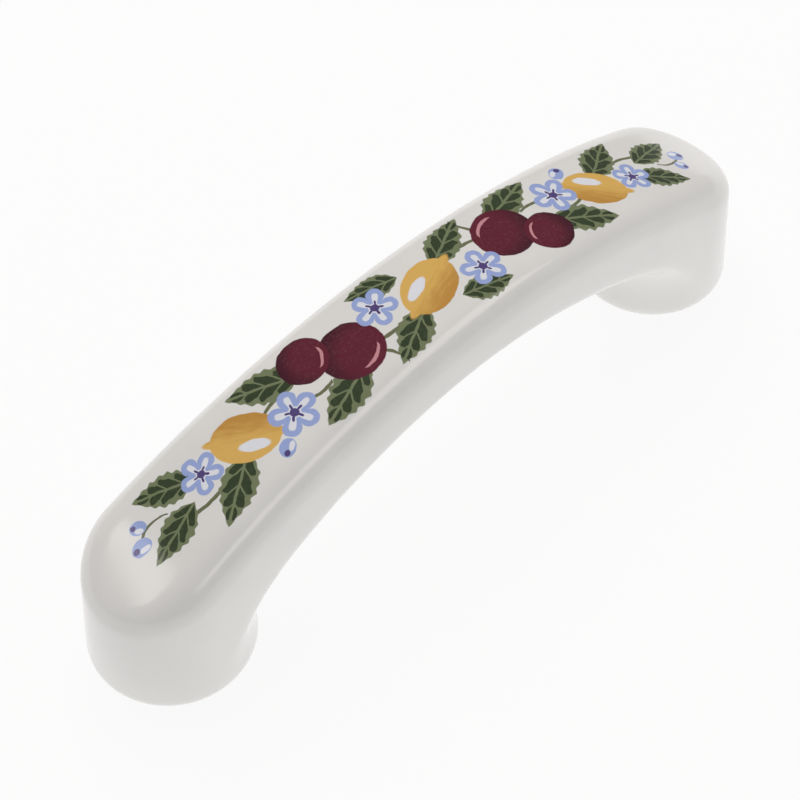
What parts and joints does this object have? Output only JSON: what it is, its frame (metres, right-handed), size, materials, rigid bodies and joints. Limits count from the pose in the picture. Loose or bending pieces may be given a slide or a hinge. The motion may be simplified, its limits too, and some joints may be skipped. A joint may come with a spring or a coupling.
{
  "type": "cabinet pull handle",
  "caption": "Glazed ceramic bow handle for a cabinet door or drawer, with an arched finger gap, round feet and brass screw inserts.",
  "frame": {"origin": "midway between the two screws, on the mounting plane", "axes": "+X along the handle from screw to screw, +Z out from the door"},
  "size_m": [0.0946, 0.0184, 0.0264],
  "materials": {
    "glazed_ceramic": "gloss glaze with a printed fruit garland on top",
    "brass_insert": "machined"
  },
  "bodies": {
    "root": {"ceramic_body": "glazed_ceramic", "threaded_insert_left": "brass_insert", "threaded_insert_right": "brass_insert"}
  },
  "joints": []
}
